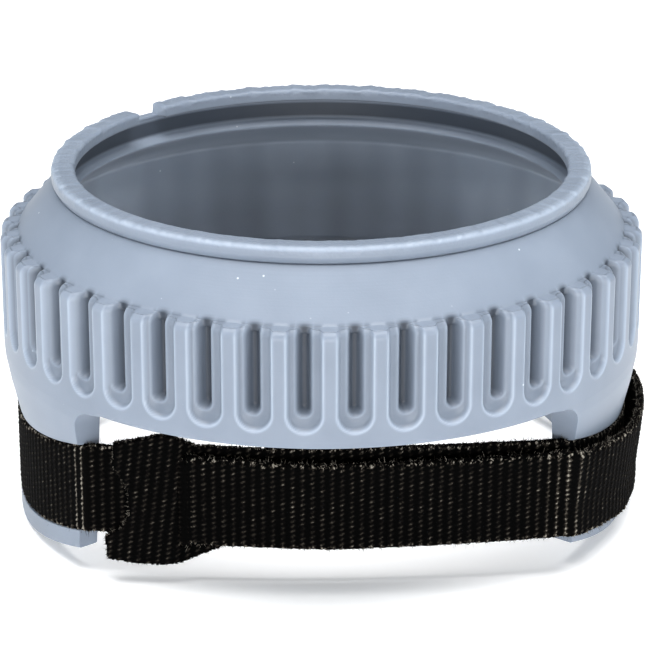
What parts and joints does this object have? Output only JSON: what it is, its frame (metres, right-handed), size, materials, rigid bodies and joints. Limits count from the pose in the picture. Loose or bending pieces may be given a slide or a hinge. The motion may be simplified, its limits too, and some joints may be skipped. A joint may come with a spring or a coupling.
{
  "type": "lamp head snoot collar",
  "caption": "Moulded collar that straps onto a studio lamp head, with a gripped cone, an accessory groove, clamp legs and a hook-and-loop strap.",
  "frame": {"origin": "on the ring's axis, at the ring's lower edge, which is the mouth of the bore that takes the lamp head", "axes": "+Z along the ring's axis the way the light leaves, +X through the middle of the right clamp leg, -Y towards the strap's slotted head"},
  "size_m": [0.1165, 0.116, 0.0646],
  "materials": {
    "silicone": "satin moulded silicone",
    "tie_strap": "woven hook-and-loop tape"
  },
  "bodies": {
    "ring": {"collar": "silicone", "strap_head": "tie_strap", "strap_front_lap": "tie_strap", "strap_feed": "tie_strap", "strap_back_span": "tie_strap"},
    "left_leg": {"clamp_leg_left": "silicone", "strap_left_wrap": "tie_strap"},
    "right_leg": {"clamp_leg_right": "silicone", "strap_right_wrap": "tie_strap"},
    "tail_front": {"strap_tail_front": "tie_strap"},
    "tail_side": {"strap_tail_side": "tie_strap"}
  },
  "joints": [
    {"name": "left_leg_flex", "type": "hinge", "parent": "ring", "child": "left_leg", "pos_m": [-0.036, 0, -0.0003], "axis": [0, -1, 0], "range_deg": [0, 3], "stiffness_Nm_per_rad": 1.5},
    {"name": "right_leg_flex", "type": "hinge", "parent": "ring", "child": "right_leg", "pos_m": [0.036, 0, -0.0003], "axis": [0, 1, 0], "range_deg": [0, 3], "stiffness_Nm_per_rad": 1.5},
    {"name": "tail_peel", "type": "hinge", "parent": "ring", "child": "tail_front", "pos_m": [-0.02315, -0.04151, -0.016], "axis": [0, 0, -1], "range_deg": [0, 110]},
    {"name": "tail_end_peel", "type": "hinge", "parent": "tail_front", "child": "tail_side", "pos_m": [0.0403, -0.03991, -0.016], "axis": [0, 0, -1], "range_deg": [0, 95]}
  ]
}
